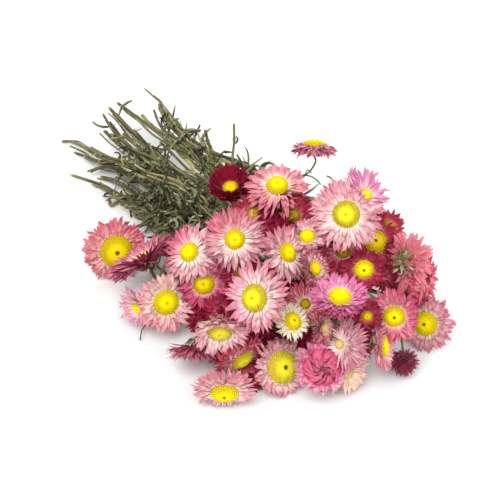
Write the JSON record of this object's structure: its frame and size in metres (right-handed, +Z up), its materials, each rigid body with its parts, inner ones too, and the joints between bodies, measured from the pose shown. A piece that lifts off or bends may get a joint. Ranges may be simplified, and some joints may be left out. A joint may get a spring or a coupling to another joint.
{
  "type": "dried everlasting daisy bouquet",
  "caption": "Bunch of dried pink, crimson and cream everlasting daisies lying on its side, for display or filling a vase.",
  "frame": {"origin": "on the surface it lies on, under the middle of its bounding box", "axes": "+Z up from the surface; -Y is the front, where the lowest flower heads lie; the cut stems point to -X and +Y"},
  "size_m": [0.2572, 0.2728, 0.1019],
  "materials": {
    "discs": "matte, finely dotted dried florets",
    "petals_burgundy": "papery with a faint sheen, finely streaked lengthwise",
    "petals_coral": "papery with a faint sheen, finely streaked lengthwise",
    "petals_cream": "papery with a faint sheen, finely streaked lengthwise",
    "petals_crimson": "papery with a faint sheen, finely streaked lengthwise",
    "petals_orchid": "papery with a faint sheen, finely streaked lengthwise",
    "petals_pale": "papery with a faint sheen, finely streaked lengthwise",
    "petals_rose": "papery with a faint sheen, finely streaked lengthwise",
    "petals_salmon": "papery with a faint sheen, finely streaked lengthwise",
    "stems": "matte dried stems and shrivelled leaves"
  },
  "bodies": {
    "root": {"disc_bright_back": "discs", "disc_burgundy": "discs", "disc_centre": "discs", "disc_centre_back": "discs", "disc_coral_left": "discs", "disc_cream_small": "discs", "disc_crimson_back": "discs", "disc_crimson_cup": "discs", "disc_crimson_front": "discs", "disc_draped": "discs", "disc_edged_inner": "discs", "disc_great_disc": "discs", "disc_great_pale": "discs", "disc_lone_back": "discs", "disc_low_front": "discs", "disc_orchid": "discs", "disc_pale_end": "discs", "disc_pale_inner": "discs", "disc_pale_left": "discs", "disc_pink_back": "discs", "disc_pink_inner": "discs", "disc_pink_right": "discs", "disc_rose_left": "discs", "disc_salmon_back": "discs", "disc_side_left": "discs", "disc_side_right": "discs", "petals_bright_back": "petals_orchid", "petals_burgundy": "petals_burgundy", "petals_centre": "petals_pale", "petals_centre_back": "petals_pale", "petals_coral_left": "petals_coral", "petals_coral_right": "petals_coral", "petals_cream_small": "petals_cream", "petals_cream_striped": "petals_cream", "petals_crimson_cup": "petals_crimson", "petals_crimson_far": "petals_crimson", "petals_crimson_front": "petals_crimson", "petals_crimson_right": "petals_crimson", "petals_dark_ball": "petals_burgundy", "petals_dark_inner": "petals_crimson", "petals_draped": "petals_pale", "petals_great_disc": "petals_pale", "petals_great_pale": "petals_pale", "petals_hidden_back": "petals_crimson", "petals_incurved": "petals_rose", "petals_inner_left": "petals_crimson", "petals_lone_back": "petals_rose", "petals_low_front": "petals_pale", "petals_orchid": "petals_orchid", "petals_pale_end": "petals_pale", "petals_pale_left": "petals_pale", "petals_pink_back": "petals_pale", "petals_pink_inner": "petals_salmon", "petals_pink_right": "petals_rose", "petals_rose_left": "petals_rose", "petals_salmon_back": "petals_salmon", "petals_side_front": "petals_burgundy", "petals_side_left": "petals_crimson", "petals_side_right": "petals_rose", "stems_and_leaves": "stems"}
  },
  "joints": []
}
